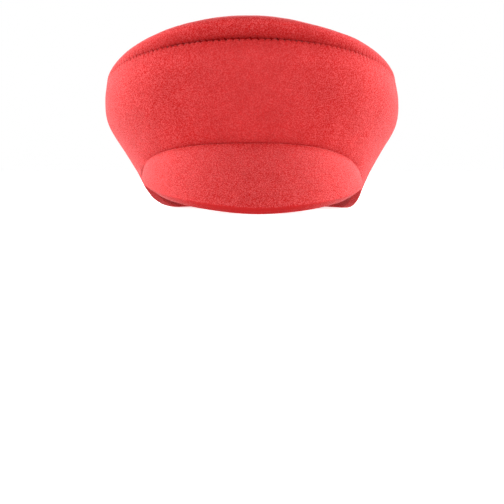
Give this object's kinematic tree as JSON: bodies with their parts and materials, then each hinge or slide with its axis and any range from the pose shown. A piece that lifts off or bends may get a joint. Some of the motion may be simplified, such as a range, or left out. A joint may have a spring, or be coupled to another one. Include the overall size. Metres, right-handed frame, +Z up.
{
  "type": "foam uniform cap",
  "caption": "Foam uniform cap: an outward-leaning wall, a puffed top sewn on round its edge and a short curved peak over the brow.",
  "frame": {"origin": "middle of the cap's bounding box, on the surface that the cap rests on", "axes": "+X towards the right side seen from the front, +Y towards the back, +Z up; the peak points along -Y"},
  "size_m": [0.2276, 0.2816, 0.1405],
  "materials": {
    "foam": "matt open-cell foam sheet, red all through, with a fine mottled grain",
    "thread": "matt sewing thread of the foam's own red, used for the stitches of the seam"
  },
  "bodies": {
    "root": {"crown_wall": "foam", "crown_top": "foam", "peak": "foam"}
  },
  "joints": []
}
